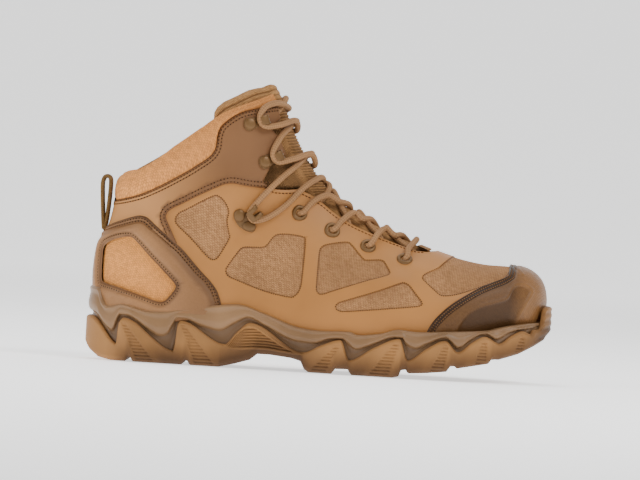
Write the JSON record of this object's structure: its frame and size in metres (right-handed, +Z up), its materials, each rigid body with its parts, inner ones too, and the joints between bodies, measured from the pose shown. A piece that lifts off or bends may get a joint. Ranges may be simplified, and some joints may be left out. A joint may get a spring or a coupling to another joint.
{
  "type": "military boot",
  "caption": "Right mid-height military boot in coyote brown, with a film and mesh upper, rubber toe cap, heel counter, round laces on hooks and eyelets, and a lugged two-part sole.",
  "frame": {"origin": "middle of the boot's box, on the floor that it stands on", "axes": "+X towards the toe, +Z up, -Y towards the outer side of the foot"},
  "size_m": [0.31, 0.1145, 0.1876],
  "materials": {
    "outsole_rubber": "matt tan rubber",
    "midsole_foam": "matt brown moulded foam",
    "footbed": "brown footbed cloth",
    "film_and_mesh": "smooth tan film with mesh windows",
    "toe_rubber": "textured dark brown rubber",
    "smooth_panel": "smooth taupe synthetic leather",
    "collar_fabric": "padded light tan fabric",
    "tongue_fabric": "padded gold-brown ribbed fabric",
    "webbing": "woven webbing",
    "painted_metal": "satin brown paint",
    "lace_cord": "round braided cord"
  },
  "bodies": {
    "root": {"outsole": "outsole_rubber", "midsole": "midsole_foam", "insole": "footbed", "upper": "film_and_mesh", "toe_cap": "toe_rubber", "heel_counter": "smooth_panel", "ankle_panel": "smooth_panel", "collar": "collar_fabric", "tongue": "tongue_fabric", "pull_loop": "webbing", "lace_keeper": "webbing", "eyelet_outer_1": "painted_metal", "eyelet_outer_2": "painted_metal", "eyelet_outer_3": "painted_metal", "eyelet_outer_4": "painted_metal", "eyelet_inner_1": "painted_metal", "eyelet_inner_2": "painted_metal", "eyelet_inner_3": "painted_metal", "eyelet_inner_4": "painted_metal", "hook_outer_1": "painted_metal", "hook_outer_2": "painted_metal", "hook_outer_3": "painted_metal", "hook_inner_1": "painted_metal", "hook_inner_2": "painted_metal", "hook_inner_3": "painted_metal", "lace_bar": "lace_cord", "lace_crossing_1": "lace_cord", "lace_crossing_2": "lace_cord", "lace_crossing_3": "lace_cord", "lace_crossing_4": "lace_cord", "lace_crossing_5": "lace_cord", "lace_crossing_6": "lace_cord"}
  },
  "joints": []
}
